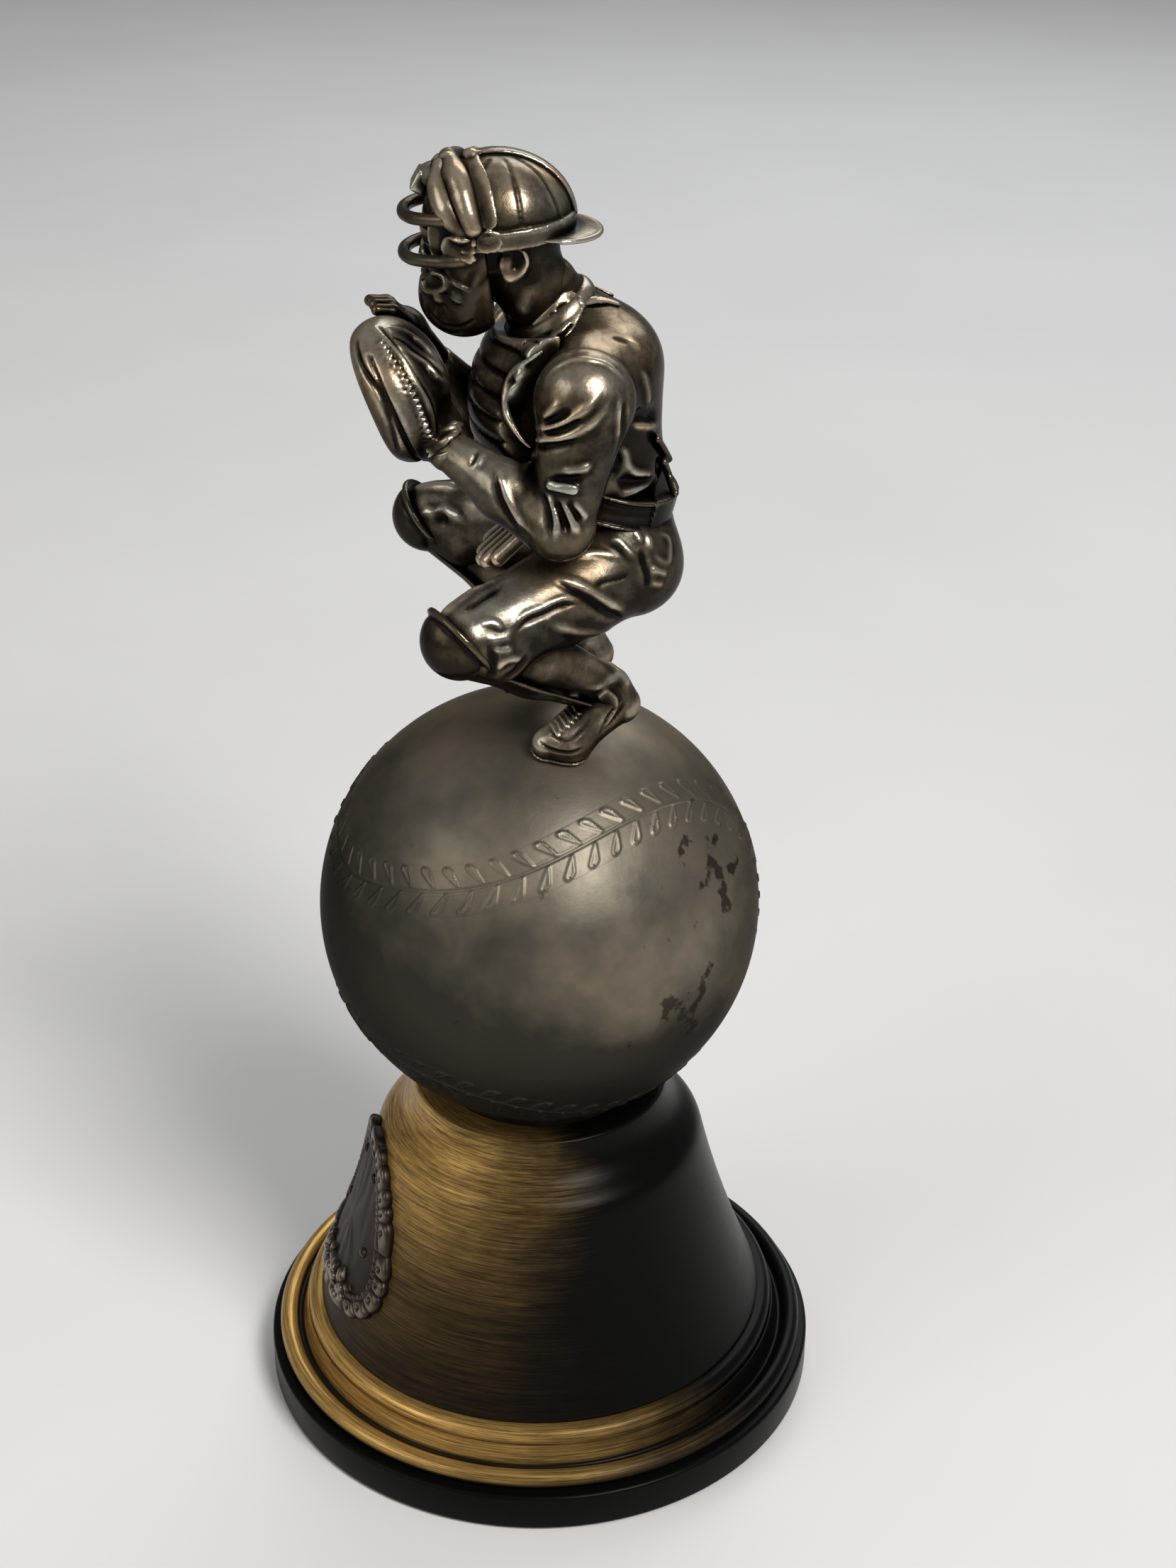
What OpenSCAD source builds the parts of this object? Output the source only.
/* [Base] */
// Diameter of the wooden foot
foot_d = 200; // [170:1:240]
// Height of the wooden foot
foot_h = 30; // [24:1:45]
// Height of the plain black side of the foot
foot_side_h = 14; // [6:0.5:18]
// Diameter of the outer bead on the foot
foot_bead_d = 194; // [168:1:198]
// Diameter of the groove between the two beads
foot_groove_d = 180; // [164:1:190]
// Width of the inner bead
inner_bead_w = 7; // [4:0.5:10]
// Diameter of the bell where it stands on the foot
bell_d = 163; // [140:1:166]
// Diameter of the bell at its shoulder
shoulder_d = 114; // [100:1:130]
// Height of the bell's shoulder above the foot
shoulder_h = 75; // [50:1:110]
// Diameter of the rim at the top of the bell
rim_d = 90; // [80:1:100]
// Height of the rim above the shoulder
rim_h = 17; // [10:0.5:25]
// How far the flank of the bell is hollowed
flank_hollow = 2; // [0:0.5:5]
// Diameter of the spigot that centres the bell on the foot
spigot_d = 60; // [40:1:80]
// Height of that spigot
spigot_h = 8; // [4:0.5:12]
// Thickness of the felt pad
felt_t = 1.6; // [1:0.1:3]
// How far the felt stands proud of the foot
felt_proud = 0.6; // [0.2:0.1:1]
// Width of the wooden edge left round the felt
felt_margin = 8; // [4:1:15]

/* [Seat and tie rod] */
// Outer diameter of the seat collar
collar_d = 70; // [54:1:76]
// Wall of the seat collar
collar_wall = 5; // [3:0.5:8]
// Depth of the collar's recess in the bell
collar_depth = 12; // [9:0.5:18]
// Thickness of the collar's floor
collar_floor = 2; // [1.5:0.5:3]
// How far the seat edge stands above the rim of the bell
collar_proud = 0.8; // [0:0.1:3]
// Diameter of the tie rod
rod_d = 10; // [6:0.5:14]
// Clearance round the rod in its bores
rod_clearance = 0.3; // [0.1:0.05:0.6]
// Size of the rod's nuts across the flats
rod_nut_af = 17; // [11:0.5:22]
// Height of the rod's nuts
rod_nut_h = 8; // [5:0.5:11]
// Diameter of the rod's washers
rod_washer_d = 24; // [16:1:28]
// Thickness of the rod's washers
rod_washer_t = 2; // [1:0.25:3]
// Depth of the counterbore under the foot
counterbore_h = 15; // [14:0.5:20]
// Clearance between a piece and its recess
fit_clearance = 0.2; // [0.1:0.05:0.5]

/* [Plaque] */
// Height of the plaque along the bell
plaque_h = 68; // [50:1:76]
// Width of the lower part of the plaque
plaque_w = 62; // [50:1:70]
// Width of the upper part of the plaque
plaque_top_w = 38; // [28:1:46]
// Height of the plaque's lower tip above the foot
plaque_rise = 8; // [4:0.5:14]
// Thickness of the plaque's field
plaque_t = 1.6; // [1:0.1:3]
// Extra thickness of the plaque's rim
plaque_rim_t = 2.2; // [1:0.1:4]
// Width of the plaque's rim
plaque_rim_w = 6; // [4:0.5:9]
// Diameter of the plaque's pins
pin_d = 2; // [1.4:0.1:3]
// Diameter of the pins' round heads
pin_head_d = 4; // [3.2:0.2:6]
// Length of the pins below their heads
pin_l = 12; // [8:1:16]

/* [Ball] */
// Diameter of the ball
ball_d = 150; // [130:1:170]
// Wall of the ball
ball_wall = 4; // [3:0.5:6]
// Height of the lap joint at the ball's equator
lap_h = 6; // [4:0.5:10]
// Height of the boss that carries the upper rod nut
boss_h = 8; // [6:0.5:12]
// Diameter of the studs that hold the shoes
stud_d = 5; // [4:0.5:6]
// Depth of a stud in its shoe
stud_depth = 5; // [3:0.5:6]
// Size of the stud nuts across the flats
stud_nut_af = 8; // [7:0.5:11]
// Height of the stud nuts
stud_nut_h = 4; // [3:0.5:6]
// Diameter of the stud washers
stud_washer_d = 12; // [9:0.5:14]
// Thickness of the stud washers
stud_washer_t = 1; // [0.6:0.2:2]

/* [Legs] */
// Left shoe's tread, seen from above
left_tread = [27, 4]; // [-40:0.5:40]
// Right shoe's tread, seen from above
right_tread = [-27, 6]; // [-40:0.5:40]
// Left heel, from the top of the ball
left_heel = [26, 23, 9]; // [-60:0.5:60]
// Right heel, from the top of the ball
right_heel = [-26, 25, 3]; // [-60:0.5:60]
// Left knee, from the top of the ball
left_knee = [42, -29, 43]; // [-80:0.5:80]
// Right knee, from the top of the ball
right_knee = [-43, -28, 48]; // [-80:0.5:80]
// Hip joint, from the top of the ball
hip = [19, 24, 54]; // [-80:0.5:80]
// Radius of the thigh at the hip
thigh_top_r = 19; // [14:0.5:22]
// Radius of the thigh at the knee
thigh_low_r = 12; // [9:0.5:14]
// Radius of the calf at its fullest
calf_r = 10; // [7:0.5:12]
// Radius of the ankle
ankle_r = 6; // [4.5:0.5:8]
// Height of the ankle above the heel's centre
ankle_rise = 4; // [2:0.5:8]
// Radius of the shoe's tread
tread_r = 7; // [6:0.5:9]
// Radius of the shoe's toe
toe_r = 5.5; // [4:0.5:7]
// Distance from the tread to the toe
toe_reach = 7.5; // [5:0.5:12]
// Radius of the shoe's heel
heel_r = 6.5; // [5:0.5:8]
// Radius of the knee cap
knee_cap_r = 12.5; // [11:0.5:16]
// How far the knee cap sits in front of the knee
knee_cap_reach = 4; // [2:0.5:6]
// Thickness of the shin guard
guard_t = 3.5; // [2:0.5:5]

/* [Trunk] */
// Centre of the seat of the trousers, from the top of the ball
seat_at = [0, 25, 54]; // [-80:0.5:80]
// Radius of the seat
seat_r = 20; // [16:0.5:24]
// Width of the seat
seat_w = 66; // [54:1:76]
// Centre of the waist
waist_at = [0, 20, 80]; // [-100:0.5:100]
// Radius of the waist
waist_r = 17.5; // [14:0.5:22]
// Width of the waist
waist_w = 60; // [48:1:68]
// Centre of the chest
chest_at = [0, 11, 102]; // [-120:0.5:120]
// Radius of the chest
chest_r = 27; // [22:0.5:30]
// Width of the chest
chest_w = 68; // [56:1:76]
// Centre of the shoulder yoke
yoke_at = [0, 16, 119]; // [-140:0.5:140]
// Radius of the yoke
yoke_r = 16; // [12:0.5:19]
// Width of the yoke
yoke_w = 64; // [50:1:72]
// Height of the belt's middle above the ball
belt_z = 73; // [66:0.5:78]
// How far back the belt's middle lies
belt_y = 27; // [18:0.5:34]
// How far the belt is tipped up in front
belt_tip = 24; // [0:1:35]
// Width of the belt
belt_w = 10; // [6:0.5:12]
// How far the belt stands out from the trousers
belt_t = 0.8; // [0.5:0.1:2]
// Radius of the rolled collar
collar_roll_r = 3.2; // [2:0.2:4.5]
// Radius at which the collar goes round the neck
collar_ring_r = 13; // [11:0.5:16]
// Height of the collar above the foot of the neck
collar_rise = 4; // [2:0.5:7]
// How far the collar is tipped up behind
collar_tip = 28; // [10:1:35]

/* [Arms] */
// Left shoulder, from the top of the ball
left_shoulder = [37, 7, 115]; // [-140:0.5:140]
// Right shoulder
right_shoulder = [-37, 6, 115]; // [-140:0.5:140]
// Left elbow
left_elbow = [42, 0, 77]; // [-120:0.5:120]
// Right elbow
right_elbow = [-40, -8, 83]; // [-120:0.5:120]
// Left wrist
left_wrist = [20, -31, 96]; // [-120:0.5:120]
// Right wrist
right_wrist = [-26, -28, 108]; // [-120:0.5:120]
// Radius of the sleeve at the shoulder
sleeve_top_r = 14; // [11:0.5:17]
// Radius of the sleeve at the elbow
sleeve_low_r = 11.5; // [9:0.5:14]
// Radius of the forearm at the elbow
forearm_top_r = 9.5; // [7:0.5:11]
// Radius of the wrist
wrist_r = 5.5; // [4:0.5:7]
// Tips of the right hand's fingers, from the top of the ball
fingertips = [-23, -45, 131]; // [-160:0.5:160]
// Radius of the bare hand's palm
palm_r = 5; // [4:0.5:7]
// Radius of a finger
finger_r = 2.2; // [1.6:0.1:3]
// Centre of the mitt
mitt_at = [6, -40, 113]; // [-140:0.5:140]
// Diameter of the mitt
mitt_d = 50; // [40:1:58]
// Thickness of the mitt's padded edge
mitt_t = 18; // [11:0.5:22]
// Turn of the mitt's palm from straight ahead to the figure's right
mitt_turn = 18; // [0:1:40]
// Lean of the mitt's upper edge to the front
mitt_lean = 22; // [0:1:40]
// Radius of the hollow in the mitt's palm
pocket_r = 30; // [22:1:45]
// Depth of that hollow
pocket_depth = 5; // [2:0.5:7]

/* [Head] */
// Centre of the skull, from the top of the ball
skull_at = [0, -13, 160]; // [-200:0.5:200]
// Radius of the skull
skull_r = 17.5; // [15:0.5:20]
// How far the brow lies in front of the skull's centre
brow_reach = 3.5; // [2:0.5:8]
// Centre of the chin
chin_at = [0, -20.5, 141]; // [-200:0.5:200]
// Radius of the chin
chin_r = 8.5; // [6:0.5:11]
// Foot of the neck
neck_at = [0, 3, 128]; // [-160:0.5:160]
// Radius of the neck
neck_r = 11.5; // [9:0.5:14]
// Turn of the head to the figure's right
head_turn = 9; // [0:1:25]
// Thickness of the cap over the skull
cap_t = 2.5; // [1.5:0.5:4]
// Height of the cap's lower edge below the skull's centre
cap_drop = 3; // [0:0.5:6]
// Extra height of the cap's crown
crown_rise = 2.5; // [0:0.5:6]
// Length of the brim behind the cap
brim_l = 10; // [6:0.5:16]
// Thickness of the brim
brim_t = 2; // [1:0.25:3]
// Width of the mask's strap
strap_w = 6; // [3:0.5:8]
// Thickness of the mask's strap
strap_t = 1.2; // [0.8:0.1:2]
// Radius of the mask's padded roll
pad_r = 3.2; // [2:0.2:4.5]
// Radius of the mask's bars
bar_r = 1.4; // [1:0.1:2]
// How far the bars stand in front of the mask's plate
bar_reach = 5; // [4:0.5:10]
// Thickness of the mask's plate
plate_t = 2.2; // [1.5:0.1:4]
// Gap between the face and the mask's plate
plate_gap = 1.5; // [1:0.5:5]
// Height of the eye opening in the mask's plate
eye_h = 18; // [12:0.5:24]
// Width of the eye opening
eye_w = 26; // [18:1:32]
// Drop from the upper bar to the lower bar
bar_drop = 12; // [8:0.5:16]
// Radius of the chin guard
chin_guard_r = 13.5; // [11:0.5:17]

/* [Chest protector] */
// Thickness of the chest protector
protector_t = 5; // [3:0.5:7]
// Width of the protector over the chest
protector_w = 58; // [44:1:64]
// Width of the protector's tail
tail_w = 22; // [14:1:30]
// Lower end of the tail, from the top of the ball
tail_at = [0, -13, 53]; // [-100:0.5:100]
// Number of sewn ribs across the protector
rib_count = 7; // [4:1:10]
// Depth of the lines between the ribs
rib_depth = 1; // [0.5:0.1:2]
// Height of the lines' upper end above the ball
rib_top = 122; // [100:1:130]
// Height of the lines' lower end above the ball
rib_low = 76; // [65:1:90]
// Height of the upper padding's middle above the ball
protector_top = 113; // [100:1:120]
// Height of the lower padding's middle above the ball
protector_low = 86; // [75:1:95]
// Radius of the padding
protector_r = 14; // [10:0.5:18]
// How much narrower the protector is over the belly
protector_taper = 8; // [0:1:16]
// Radius of the shoulder straps
shoulder_strap_r = 2.6; // [1.6:0.2:4]
// Front end of the left shoulder strap, from the top of the ball
strap_front = [19, -6, 122]; // [-160:0.5:160]
// Top of the left shoulder strap
strap_top = [21, 8, 133]; // [-160:0.5:160]
// Rear end of the left shoulder strap
strap_rear = [16, 22, 133]; // [-160:0.5:160]

/* [Hidden] */

bronze = "#4a4236";
dark_bronze = "#3a342b";
worn_bronze = "#6b5f4a";
black_wood = "#1c1a18";
gilt_wood = "#6d5432";
steel = "#9a9a98";

LEFT = 1;
RIGHT = -1;
// How far a cutter passes the face it cuts
over = 1;
round_fn = 96;
body_fn = 20;
bar_fn = 14;

foot_z = felt_proud;
felt_r = foot_d / 2 - felt_margin;
bell_z = foot_z + foot_h;
shoulder_z = bell_z + shoulder_h;
rim_z = shoulder_z + rim_h;
collar_z = rim_z - collar_depth;
ball_r = ball_d / 2;
seat_edge_r = collar_d / 2 - collar_wall;
seat_edge_z = rim_z + collar_proud;
ball_z = seat_edge_z + sqrt(ball_r * ball_r - seat_edge_r * seat_edge_r);
ball_top = ball_z + ball_r;
ball_inner_r = ball_r - ball_wall;
boss_z = ball_z - ball_inner_r + boss_h;
rod_bore_d = rod_d + 2 * rod_clearance;
nut_corner = 2 / sqrt(3);
washer_room = 2;
counterbore_d = rod_washer_d + washer_room;
counterbore_z = foot_z + counterbore_h;
rod_end = 2;
rod_low_z = counterbore_z - rod_washer_t - rod_nut_h - rod_end;
rod_top_z = boss_z + rod_washer_t + rod_nut_h + rod_end;
boss_d = rod_washer_d + washer_room;
// Inside face of the ball that is cut flat for each stud's washer
stud_cut = 0.4;
stud_face = sqrt(ball_inner_r * ball_inner_r - stud_washer_d * stud_washer_d / 4) + stud_cut;

// Points of the figure in the part's own frame
function up(p) = p + [0, 0, ball_top];
function on_ball(p, lift) =
    let (d = [p.x, p.y, sqrt(ball_r * ball_r - p.x * p.x - p.y * p.y)])
    [0, 0, ball_z] + d * (ball_r + lift) / ball_r;
function unit(v) = v / norm(v);
function side(s, a, b) = s == LEFT ? a : b;
function mirrored(s, p) = [s * p.x, p.y, p.z];
function tread(s) = side(s, left_tread, right_tread);
function heel(s) = up(side(s, left_heel, right_heel));
function ankle(s) = heel(s) + [0, -ankle_rise, ankle_rise];
function knee(s) = up(side(s, left_knee, right_knee));
function shoulder(s) = up(side(s, left_shoulder, right_shoulder));
function elbow(s) = up(side(s, left_elbow, right_elbow));
function wrist(s) = up(side(s, left_wrist, right_wrist));
// Direction square to the shin, forwards and down
function shin_front(s) =
    let (a = unit(ankle(s) - knee(s)), d = [0, 0, -1])
    unit(d - (d * a) * a);
// Angles that turn +Z to a direction
function aim(d) = [0, acos(d.z / norm(d)), atan2(d.y, d.x)];

// Round-ended bar from one point to another
module limb(a, ra, b, rb, fn = body_fn) {
    hull() {
        translate(a) sphere(ra, $fn = fn);
        translate(b) sphere(rb, $fn = fn);
    }
}

// Two balls side by side, with their outsides a given width apart
module pair(at, r, w) {
    for (s = [LEFT, RIGHT]) translate(up(at) + [s * (w / 2 - r), 0, 0]) sphere(r, $fn = body_fn);
}

module ball_solid(r = ball_r) {
    translate([0, 0, ball_z]) sphere(r, $fn = round_fn);
}

module hexagon_nut(af, h, d) {
    difference() {
        cylinder(d = af * nut_corner, h = h, $fn = 6);
        translate([0, 0, -over]) cylinder(d = d, h = h + 2 * over, $fn = round_fn);
    }
}

module flat_washer(od, id, t) {
    difference() {
        cylinder(d = od, h = t, $fn = round_fn);
        translate([0, 0, -over]) cylinder(d = id, h = t + 2 * over, $fn = round_fn);
    }
}

module felt_pad() {
    color("#2b3a2e") cylinder(r = felt_r, h = felt_t, $fn = round_fn);
}

// Turned foot: plain side, outer bead, groove, inner bead and a flat for the bell
module base_foot() {
    side_top = foot_side_h;
    edge = 1;
    bead_share = 0.2;
    bead_r = (foot_h - foot_side_h) * bead_share;
    bead_z = side_top + bead_r;
    groove_z = side_top + 2 * bead_r;
    color(black_wood) translate([0, 0, foot_z]) difference() {
        rotate_extrude($fn = round_fn) difference() {
            union() {
                polygon([
                    [0, 0], [foot_d / 2 - edge, 0], [foot_d / 2, edge], [foot_d / 2, side_top - edge],
                    [foot_d / 2 - edge, side_top], [foot_bead_d / 2 - bead_r, side_top],
                    [foot_groove_d / 2, groove_z], [bell_d / 2 + inner_bead_w / 2, groove_z],
                    [bell_d / 2, foot_h], [0, foot_h]
                ]);
                translate([foot_bead_d / 2 - bead_r, bead_z]) circle(bead_r, $fn = 48);
                translate([bell_d / 2, foot_h - inner_bead_w / 2]) circle(inner_bead_w / 2, $fn = 48);
            }
            translate([-foot_d, -foot_d]) square([foot_d, 2 * foot_d]);
        }
        translate([0, 0, -over]) cylinder(d = rod_bore_d, h = foot_h + 2 * over, $fn = round_fn);
        translate([0, 0, -over]) cylinder(d = counterbore_d, h = counterbore_h + over, $fn = round_fn);
        translate([0, 0, foot_h - spigot_h - fit_clearance])
            cylinder(d = spigot_d + 2 * fit_clearance, h = spigot_h + over, $fn = round_fn);
        translate([0, 0, -over])
            cylinder(r = felt_r + fit_clearance, h = over + felt_t - felt_proud, $fn = round_fn);
    }
}

// Outside of the bell, widened all round by a given amount
module bell_outline(grow) {
    steps = 8;
    flank = [for (i = [0:steps])
        let (t = i / steps)
        let (straight = bell_d / 2 + (shoulder_d - bell_d) / 2 * t)
        [straight - flank_hollow * 4 * t * (1 - t) + grow, shoulder_h * t]];
    cavetto = [for (i = [0:steps])
        let (a = 90 * i / steps)
        [rim_d / 2 + (shoulder_d - rim_d) / 2 * (1 - sin(a)) + grow, shoulder_h + rim_h * (1 - cos(a))]];
    polygon(concat([[0, 0]], flank, cavetto, [[0, shoulder_h + rim_h]]));
}

module base_bell() {
    color(gilt_wood) difference() {
        union() {
            translate([0, 0, bell_z]) rotate_extrude($fn = round_fn) bell_outline(0);
            translate([0, 0, bell_z - spigot_h]) cylinder(d = spigot_d, h = spigot_h + over, $fn = round_fn);
        }
        translate([0, 0, bell_z - spigot_h - over])
            cylinder(d = rod_bore_d, h = spigot_h + shoulder_h + rim_h, $fn = round_fn);
        translate([0, 0, collar_z])
            cylinder(d = collar_d + 2 * fit_clearance, h = collar_depth + over, $fn = round_fn);
        plaque_pin_shanks(pin_d);
    }
}

// Front view of the plaque: a pear with a scalloped lower edge
module plaque_outline(inset) {
    low_r = plaque_w / 2;
    squash = 0.78;
    low_y = plaque_rise + low_r * squash;
    top_r = plaque_top_w * 0.36;
    scallops = 7;
    scallop_r = low_r * 0.1;
    scallop_turn = 13;
    hull() {
        translate([0, low_y]) scale([1, squash]) circle(low_r - scallop_r - inset, $fn = 64);
        translate([0, plaque_rise + plaque_h - top_r]) circle(top_r - inset, $fn = 48);
    }
    for (i = [-scallops:scallops])
        translate([0, low_y]) scale([1, squash]) rotate(i * scallop_turn - 90)
            translate([low_r - scallop_r - inset, 0]) circle(scallop_r, $fn = 24);
}

// Slice of a shell round the bell, cut to the plaque's outline
module plaque_layer(from, to, inset) {
    intersection() {
        translate([0, 0, bell_z]) rotate([90, 0, 0]) linear_extrude(foot_d) plaque_outline(inset);
        translate([0, 0, bell_z]) difference() {
            rotate_extrude($fn = round_fn) bell_outline(to);
            rotate_extrude($fn = round_fn) bell_outline(from);
        }
    }
}

// Axes of the four pins, square to the front
module at_plaque_pins() {
    low_share = 0.36;
    top_share = 0.45;
    low_margin = plaque_rim_w + 5;
    top_margin = plaque_rim_w + 4;
    low_z = bell_z + plaque_rise + plaque_w * low_share;
    top_z = bell_z + plaque_rise + plaque_h - plaque_top_w * top_share;
    for (m = [LEFT, RIGHT]) {
        translate([m * (plaque_w / 2 - low_margin), 0, low_z]) rotate([90, 0, 0]) children();
        translate([m * (plaque_top_w / 2 - top_margin), 0, top_z]) rotate([90, 0, 0]) children();
    }
}

module plaque_pin_shanks(d) {
    intersection() {
        at_plaque_pins() cylinder(d = d, h = foot_d, $fn = 32);
        translate([0, 0, bell_z]) difference() {
            rotate_extrude($fn = round_fn) bell_outline(plaque_t + plaque_rim_t);
            rotate_extrude($fn = round_fn) bell_outline(-pin_l);
        }
    }
}

module plaque() {
    color(worn_bronze) difference() {
        union() {
            plaque_layer(0, plaque_t, 0);
            difference() {
                plaque_layer(plaque_t, plaque_t + plaque_rim_t, 0);
                plaque_layer(plaque_t - over, plaque_t + plaque_rim_t + over, plaque_rim_w);
            }
        }
        plaque_pin_shanks(pin_d);
    }
}

module plaque_pins() {
    color(worn_bronze) intersection() {
        union() {
            at_plaque_pins() cylinder(d = pin_d, h = foot_d, $fn = 32);
            intersection() {
                at_plaque_pins() cylinder(d = pin_head_d, h = foot_d, $fn = 32);
                translate([0, 0, bell_z]) difference() {
                    rotate_extrude($fn = round_fn) bell_outline(plaque_t + plaque_rim_t);
                    rotate_extrude($fn = round_fn) bell_outline(plaque_t);
                }
            }
        }
        translate([0, 0, bell_z]) difference() {
            rotate_extrude($fn = round_fn) bell_outline(plaque_t + plaque_rim_t);
            rotate_extrude($fn = round_fn) bell_outline(-pin_l);
        }
    }
}

// Cup let into the bell, with the ball's own curve as its seat
module seat_collar() {
    color(dark_bronze) difference() {
        translate([0, 0, collar_z])
            cylinder(d = collar_d, h = collar_depth + collar_proud + collar_wall, $fn = round_fn);
        translate([0, 0, collar_z + collar_floor])
            cylinder(r = seat_edge_r, h = collar_depth + collar_wall, $fn = round_fn);
        ball_solid();
        translate([0, 0, collar_z - over]) cylinder(d = rod_bore_d, h = collar_depth, $fn = round_fn);
        translate([0, 0, seat_edge_z + collar_proud + over]) cylinder(d = collar_d + 2 * over, h = ball_d);
    }
}

module tie_rod() {
    color(steel) translate([0, 0, rod_low_z]) cylinder(d = rod_d, h = rod_top_z - rod_low_z, $fn = round_fn);
}

module rod_washers() {
    color(steel) {
        translate([0, 0, counterbore_z - rod_washer_t]) flat_washer(rod_washer_d, rod_bore_d, rod_washer_t);
        translate([0, 0, boss_z]) flat_washer(rod_washer_d, rod_bore_d, rod_washer_t);
    }
}

module rod_nuts() {
    color(steel) {
        translate([0, 0, counterbore_z - rod_washer_t - rod_nut_h])
            hexagon_nut(rod_nut_af, rod_nut_h, rod_d);
        translate([0, 0, boss_z + rod_washer_t]) hexagon_nut(rod_nut_af, rod_nut_h, rod_d);
    }
}

// Outer wall of the ball between two heights
module ball_wall_ring(low, high) {
    intersection() {
        difference() {
            ball_solid();
            ball_solid(ball_inner_r);
        }
        translate([0, 0, low]) cylinder(r = ball_d, h = high - low);
    }
}

module ball_lower_shell() {
    lap_r = ball_inner_r + ball_wall / 2 - fit_clearance;
    color(bronze) difference() {
        union() {
            ball_wall_ring(ball_z - ball_d, ball_z);
            translate([0, 0, ball_z - lap_h]) difference() {
                cylinder(r = lap_r, h = 2 * lap_h, $fn = round_fn);
                translate([0, 0, -over])
                    cylinder(r = ball_inner_r - lap_h / 4, h = 2 * lap_h + 2 * over, $fn = round_fn);
            }
            intersection() {
                translate([0, 0, ball_z - ball_r])
                    cylinder(d = boss_d, h = ball_wall + boss_h, $fn = round_fn);
                ball_solid();
            }
        }
        translate([0, 0, ball_z - ball_d]) cylinder(d = rod_bore_d, h = ball_d, $fn = round_fn);
    }
}

module ball_upper_shell() {
    lap_r = ball_inner_r + ball_wall / 2;
    color(bronze) difference() {
        ball_wall_ring(ball_z, ball_z + ball_d);
        translate([0, 0, ball_z - over])
            cylinder(r = lap_r, h = lap_h + over + fit_clearance, $fn = round_fn);
        at_studs() {
            cylinder(d = stud_d + 2 * fit_clearance, h = ball_d, $fn = 48);
            cylinder(d = stud_washer_d + over, h = stud_face, $fn = 48);
        }
    }
}

// Axes of the two studs, through the treads of the shoes from the centre of the ball
module at_studs() {
    for (s = [LEFT, RIGHT])
        translate([0, 0, ball_z]) rotate(aim(on_ball(tread(s), 0) - [0, 0, ball_z])) children();
}

module foot_studs() {
    stud_end = 1;
    low = stud_face - stud_washer_t - stud_nut_h - stud_end;
    high = ball_r + stud_depth;
    color(steel) at_studs() translate([0, 0, low]) cylinder(d = stud_d, h = high - low, $fn = 48);
}

module foot_washers() {
    color(steel) at_studs() translate([0, 0, stud_face - stud_washer_t])
        flat_washer(stud_washer_d, stud_d + 2 * fit_clearance, stud_washer_t);
}

module foot_nuts() {
    color(steel) at_studs() translate([0, 0, stud_face - stud_washer_t - stud_nut_h])
        hexagon_nut(stud_nut_af, stud_nut_h, stud_d);
}

module shoe_form(s) {
    step = on_ball(tread(s), tread_r);
    toe = on_ball(tread(s) - [0, toe_reach], toe_r);
    limb(step, tread_r, toe, toe_r);
    limb(step, tread_r, heel(s), heel_r);
}

module shoe(s) {
    color(dark_bronze) difference() {
        shoe_form(s);
        ball_solid();
        at_studs() cylinder(d = stud_d, h = ball_r + stud_depth, $fn = 48);
    }
}

module calf_form(s, grow = 0, shift = [0, 0, 0]) {
    bulge_share = 0.35;
    knee_share = 0.9;
    bulge = knee(s) + (ankle(s) - knee(s)) * bulge_share;
    limb(knee(s) + shift, calf_r * knee_share + grow, bulge + shift, calf_r + grow);
    limb(bulge + shift, calf_r + grow, ankle(s) + shift, ankle_r + grow);
}

module calf(s) {
    color(bronze) difference() {
        calf_form(s);
        thigh_form(s);
        shoe_form(s);
        seat_form();
    }
}

module thigh_form(s) {
    limb(up(mirrored(s, hip)), thigh_top_r, knee(s), thigh_low_r);
}

module thigh(s) {
    color(bronze) difference() {
        thigh_form(s);
        seat_form();
        jersey_form();
        belt_form();
        thigh_split(s);
    }
}

// The other side of the middle plane, which a thigh doesn't cross
module thigh_split(s) {
    half_gap = 0.2;
    low_x = (s == LEFT ? -ball_d : 0) - s * half_gap;
    translate([low_x, -ball_d, ball_z]) cube([ball_d, 2 * ball_d, 2 * ball_d]);
}

module knee_cap_form(s) {
    ahead = unit(knee(s) - up(mirrored(s, hip)));
    translate(knee(s) + ahead * knee_cap_reach + shin_front(s) * knee_cap_reach / 2)
        sphere(knee_cap_r, $fn = 28);
}

module knee_cap(s) {
    color(worn_bronze) difference() {
        knee_cap_form(s);
        thigh_form(s);
        calf_form(s);
    }
}

module shin_guard(s) {
    wrap = 1;
    ball_gap = 0.3;
    color(worn_bronze) difference() {
        calf_form(s, wrap, shin_front(s) * (guard_t - wrap));
        calf_form(s);
        thigh_form(s);
        knee_cap_form(s);
        shoe_form(s);
        ball_solid(ball_r + ball_gap);
    }
}

module seat_form() {
    hull() {
        pair(seat_at, seat_r, seat_w);
        pair(waist_at, waist_r, waist_w);
    }
}

module jersey_form() {
    hull() {
        pair(waist_at, waist_r, waist_w);
        pair(chest_at, chest_r, chest_w);
    }
    hull() {
        pair(chest_at, chest_r, chest_w);
        pair(yoke_at, yoke_r, yoke_w);
    }
}

// Slab of space at the belt: everything above, the belt itself, or everything below
module belt_slab(low, high) {
    translate([0, belt_y, ball_top + belt_z]) rotate([-belt_tip, 0, 0])
        translate([-ball_d, -ball_d, low]) cube([2 * ball_d, 2 * ball_d, high - low]);
}

module belt_form() {
    intersection() {
        hull() {
            pair(seat_at, seat_r + belt_t, seat_w + 2 * belt_t);
            pair(waist_at, waist_r + belt_t, waist_w + 2 * belt_t);
        }
        belt_slab(-belt_w / 2, belt_w / 2);
    }
}

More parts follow.
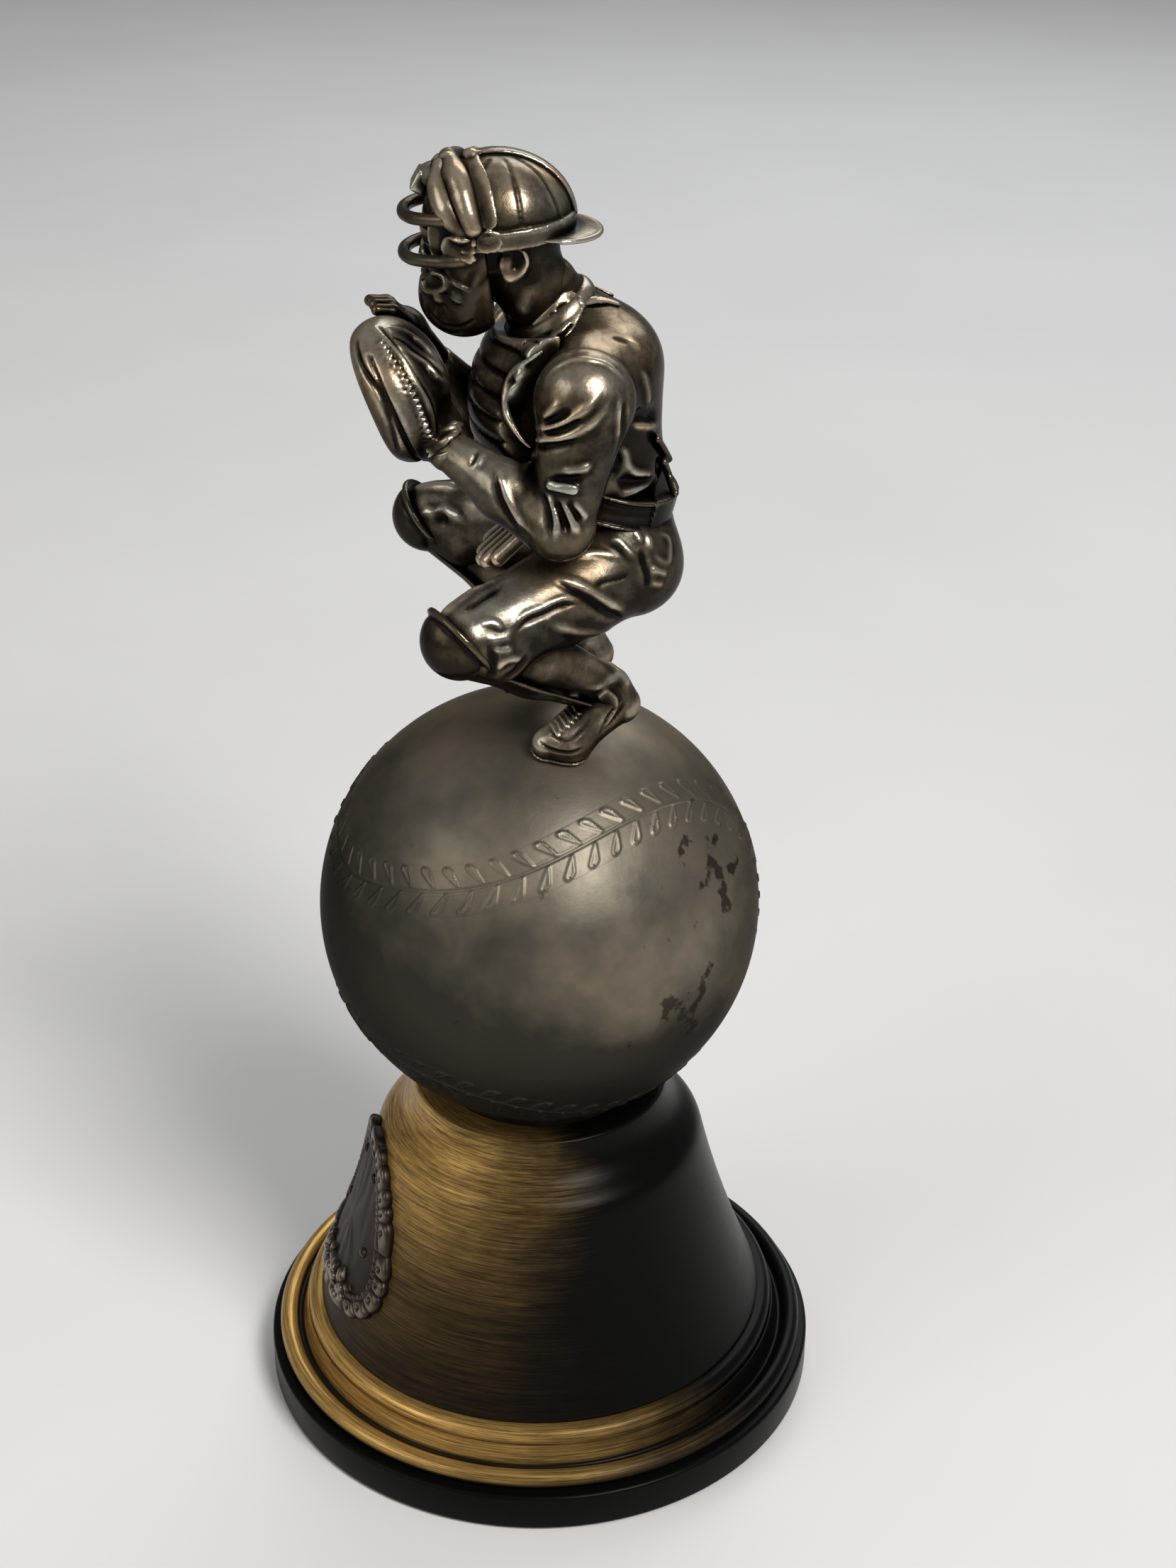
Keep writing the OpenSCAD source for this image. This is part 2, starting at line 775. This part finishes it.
module trouser_seat() {
    color(bronze) intersection() {
        seat_form();
        belt_slab(-ball_d, -belt_w / 2);
    }
}

module belt() {
    color(dark_bronze) belt_form();
}

module jersey() {
    color(bronze) intersection() {
        jersey_form();
        belt_slab(belt_w / 2, ball_d);
    }
}

module collar_form() {
    translate(up(neck_at) + [0, 0, collar_rise]) rotate([collar_tip, 0, 0])
        rotate_extrude($fn = 48) translate([collar_ring_r, 0]) circle(collar_roll_r, $fn = 20);
}

module collar() {
    color(bronze) difference() {
        collar_form();
        jersey_form();
        head_form();
        protector_form();
        chin_guard_form();
    }
}

module sleeve_form(s) {
    limb(shoulder(s), sleeve_top_r, elbow(s), sleeve_low_r);
}

module sleeve(s) {
    color(bronze) difference() {
        sleeve_form(s);
        jersey_form();
        belt_form();
        seat_form();
        thigh_form(s);
        protector_form();
    }
}

module forearm_form(s) {
    limb(elbow(s), forearm_top_r, wrist(s), wrist_r);
}

module forearm(s) {
    color(bronze) difference() {
        forearm_form(s);
        sleeve_form(s);
        jersey_form();
        thigh_form(s);
        protector_form();
        mitt_form();
    }
}

// Places the mitt's own axis, which points out of the palm
module at_mitt() {
    translate(up(mitt_at)) rotate([90 + mitt_lean, 0, -mitt_turn]) children();
}

// Padded disc, laced round its edge
module mitt_form() {
    edge_r = mitt_t / 2;
    at_mitt() hull() rotate_extrude($fn = 32) translate([mitt_d / 2 - edge_r, 0]) circle(edge_r, $fn = 20);
}

module mitt() {
    color(worn_bronze) difference() {
        mitt_form();
        at_mitt() translate([0, 0, mitt_t / 2 - pocket_depth + pocket_r]) sphere(pocket_r, $fn = 40);
    }
}

// Bare hand behind the mitt: palm and four fingers side by side
module right_hand() {
    palm_share = 0.55;
    tip_share = 0.8;
    finger_lap = 0.4;
    knuckle = wrist(RIGHT) + (up(fingertips) - wrist(RIGHT)) * palm_share;
    spread = 2 * finger_r - finger_lap;
    color(bronze) difference() {
        union() {
            limb(wrist(RIGHT), wrist_r - 1, knuckle, palm_r);
            for (i = [0:3])
                limb(knuckle + [(i - 1.5) * spread, 0, 0], finger_r,
                    up(fingertips) + [(i - 1.5) * spread, 0, -abs(i - 1.5)], finger_r * tip_share, bar_fn);
        }
        forearm_form(RIGHT);
        mitt_form();
        chin_guard_form();
    }
}

// Turns the head about the upright through the skull
module turned() {
    translate(up(skull_at)) rotate(-head_turn) children();
}

module cranium(grow, rise) {
    brow_less = 0.5;
    hull() {
        translate([0, -brow_reach, rise]) sphere(skull_r - brow_less + grow, $fn = 28);
        translate([0, brow_reach / 3, rise / 2]) sphere(skull_r + grow, $fn = 28);
    }
}

module head_form() {
    ear_r = 3;
    ear_at = [skull_r * 0.97, 0, -skull_r * 0.4];
    brow = [0, -brow_reach, -skull_r * 0.17];
    nape = [0, skull_r * 0.23, -skull_r * 0.69];
    turned() {
        cranium(0, 0);
        limb(brow, skull_r - 1, chin_at - skull_at, chin_r);
        for (s = [LEFT, RIGHT]) translate(mirrored(s, ear_at)) sphere(ear_r, $fn = 14);
    }
    limb(up(neck_at), neck_r, up(skull_at) + nape, neck_r);
}

module head() {
    color(bronze) difference() {
        head_form();
        jersey_form();
    }
}

module crown_form(grow = 0) {
    intersection() {
        cranium(cap_t + grow, crown_rise);
        translate([0, 0, ball_d / 2 - cap_drop]) cube(ball_d, center = true);
    }
}

module cap_crown() {
    color(bronze) difference() {
        turned() crown_form();
        head_form();
    }
}

// Stiff brim at the back of the head, because the cap is worn backwards
module cap_brim() {
    brim_r = skull_r;
    brim_dip = 6;
    color(bronze) difference() {
        turned() translate([0, brow_reach / 3 + cap_t + brim_l, -cap_drop]) rotate([-brim_dip, 0, 0])
            cylinder(r = brim_r, h = brim_t, $fn = round_fn);
        turned() cranium(cap_t + strap_t + fit_clearance / 2, crown_rise);
        turned() translate([0, -brim_r, 0]) cube([4 * brim_r, 2 * brim_r, 4 * brim_r], center = true);
        head_form();
    }
}

module strap_form() {
    intersection() {
        cranium(cap_t + strap_t, crown_rise);
        union() {
            translate([-ball_d, -brow_reach, -cap_drop]) cube([2 * ball_d, ball_d, strap_w]);
            translate([-strap_w / 2, -brow_reach, -cap_drop]) cube([strap_w, ball_d, ball_d]);
        }
    }
}

module mask_strap() {
    color(dark_bronze) difference() {
        turned() strap_form();
        turned() cranium(cap_t, crown_rise);
    }
}

// Padded rolls from the top of the cap down each temple
module pads_form() {
    top = [skull_r * 0.4, -skull_r * 0.8, skull_r + crown_rise];
    brow = [skull_r * 0.95, -skull_r * 0.72, skull_r * 0.65];
    temple = [skull_r + cap_t + 1, -skull_r * 0.5, 0];
    end_r = pad_r * 0.8;
    turned() for (s = [LEFT, RIGHT]) {
        limb(mirrored(s, top), end_r, mirrored(s, brow), pad_r, bar_fn);
        limb(mirrored(s, brow), pad_r, mirrored(s, temple), end_r, bar_fn);
    }
}

module mask_pads() {
    color(worn_bronze) difference() {
        pads_form();
        turned() strap_form();
        turned() crown_form();
        head_form();
    }
}

// Space in front of the face, out to a given distance from the skin
module face_form(grow) {
    hull() {
        translate([0, -brow_reach, 0]) sphere(skull_r + grow, $fn = 28);
        translate(chin_at - skull_at) sphere(chin_r + grow, $fn = 28);
    }
}

// Leather-covered plate over brow and cheeks, with one opening for the eyes
module plate_form() {
    back = -skull_r * 0.62;
    eye_drop = eye_h * 0.15;
    difference() {
        face_form(plate_gap + plate_t);
        face_form(plate_gap);
        translate([0, back + ball_d / 2, 0]) cube(ball_d, center = true);
        translate([0, -ball_d / 2, -eye_drop]) cube([eye_w, ball_d, eye_h], center = true);
    }
}

module mask_plate() {
    color(bronze) difference() {
        turned() plate_form();
        pads_form();
        turned() crown_form();
        turned() strap_form();
        chin_guard_form();
        head_form();
    }
}

// Two level bars that loop round in front of the eyes
module mask_bars(r) {
    front = -brow_reach - skull_r - plate_gap - plate_t - bar_reach;
    for (z = [bar_drop / 2, -bar_drop / 2]) {
        root = [eye_w / 2 + r, -skull_r - plate_t, z];
        bend = [eye_w * 0.36, front + 2 * r, z];
        nose = [eye_w * 0.14, front, z];
        limb(mirrored(RIGHT, nose), r, nose, r, bar_fn);
        for (s = [LEFT, RIGHT]) {
            limb(mirrored(s, nose), r, mirrored(s, bend), r, bar_fn);
            limb(mirrored(s, bend), r, mirrored(s, root), r, bar_fn);
        }
    }
}

module mask_cage() {
    color(dark_bronze) difference() {
        turned() mask_bars(bar_r);
        turned() face_form(plate_gap);
        turned() plate_form();
        chin_guard_form();
    }
}

module chin_guard_form() {
    rim_up = chin_guard_r * 0.52;
    back = chin_guard_r * 0.37;
    ahead = [0, -chin_guard_r * 0.19, -chin_guard_r * 0.07];
    turned() difference() {
        translate(chin_at - skull_at + ahead) sphere(chin_guard_r, $fn = 28);
        translate([0, 0, ball_d / 2 + chin_at.z - skull_at.z + rim_up]) cube(ball_d, center = true);
        translate([0, ball_d / 2 + chin_at.y - skull_at.y + back, 0])
            cube([ball_d, ball_d, 3 * ball_d], center = true);
    }
}

module mask_chin_guard() {
    color(worn_bronze) difference() {
        chin_guard_form();
        pads_form();
        head_form();
        jersey_form();
    }
}

// Padded front that follows the chest and belly and hangs to a tail between the thighs
module protector_form() {
    front = chest_at.y - chest_r - protector_t;
    top = [0, front + protector_r, protector_top];
    low = [0, front + protector_r + 1, protector_low];
    low_w = protector_w - protector_taper;
    hull() {
        pair(top, protector_r, protector_w);
        pair(low, protector_r, low_w);
    }
    hull() {
        pair(low, protector_r, low_w);
        pair(tail_at, protector_t, tail_w);
    }
}

module chest_protector() {
    rib_pitch = (rib_top - rib_low) / rib_count;
    front = chest_at.y - chest_r - protector_t;
    color(worn_bronze) difference() {
        protector_form();
        jersey_form();
        belt_form();
        seat_form();
        thigh_form(LEFT);
        thigh_form(RIGHT);
        head_form();
        chin_guard_form();
        for (i = [0:rib_count - 1])
            translate([-ball_d, front - over, ball_top + rib_top - i * rib_pitch])
                cube([2 * ball_d, over + rib_depth, rib_depth]);
    }
}

module straps_form() {
    for (s = [LEFT, RIGHT]) {
        top = up(mirrored(s, strap_top));
        limb(up(mirrored(s, strap_front)), shoulder_strap_r, top, shoulder_strap_r, bar_fn);
        limb(top, shoulder_strap_r, up(mirrored(s, strap_rear)), shoulder_strap_r, bar_fn);
    }
}

module protector_straps() {
    color(dark_bronze) difference() {
        straps_form();
        jersey_form();
        protector_form();
        sleeve_form(LEFT);
        sleeve_form(RIGHT);
        head_form();
        collar_form();
    }
}

felt_pad();
base_foot();
base_bell();
plaque();
plaque_pins();
seat_collar();
tie_rod();
rod_washers();
rod_nuts();
ball_lower_shell();
ball_upper_shell();
foot_studs();
foot_washers();
foot_nuts();
shoe(LEFT);  // left_shoe
shoe(RIGHT);  // right_shoe
calf(LEFT);  // left_calf
calf(RIGHT);  // right_calf
thigh(LEFT);  // left_thigh
thigh(RIGHT);  // right_thigh
knee_cap(LEFT);  // left_knee_cap
knee_cap(RIGHT);  // right_knee_cap
shin_guard(LEFT);  // left_shin_guard
shin_guard(RIGHT);  // right_shin_guard
trouser_seat();
belt();
jersey();
collar();
sleeve(LEFT);  // left_sleeve
sleeve(RIGHT);  // right_sleeve
forearm(LEFT);  // left_forearm
forearm(RIGHT);  // right_forearm
right_hand();
mitt();
head();
cap_crown();
cap_brim();
mask_pads();
mask_plate();
mask_cage();
mask_chin_guard();
mask_strap();
chest_protector();
protector_straps();
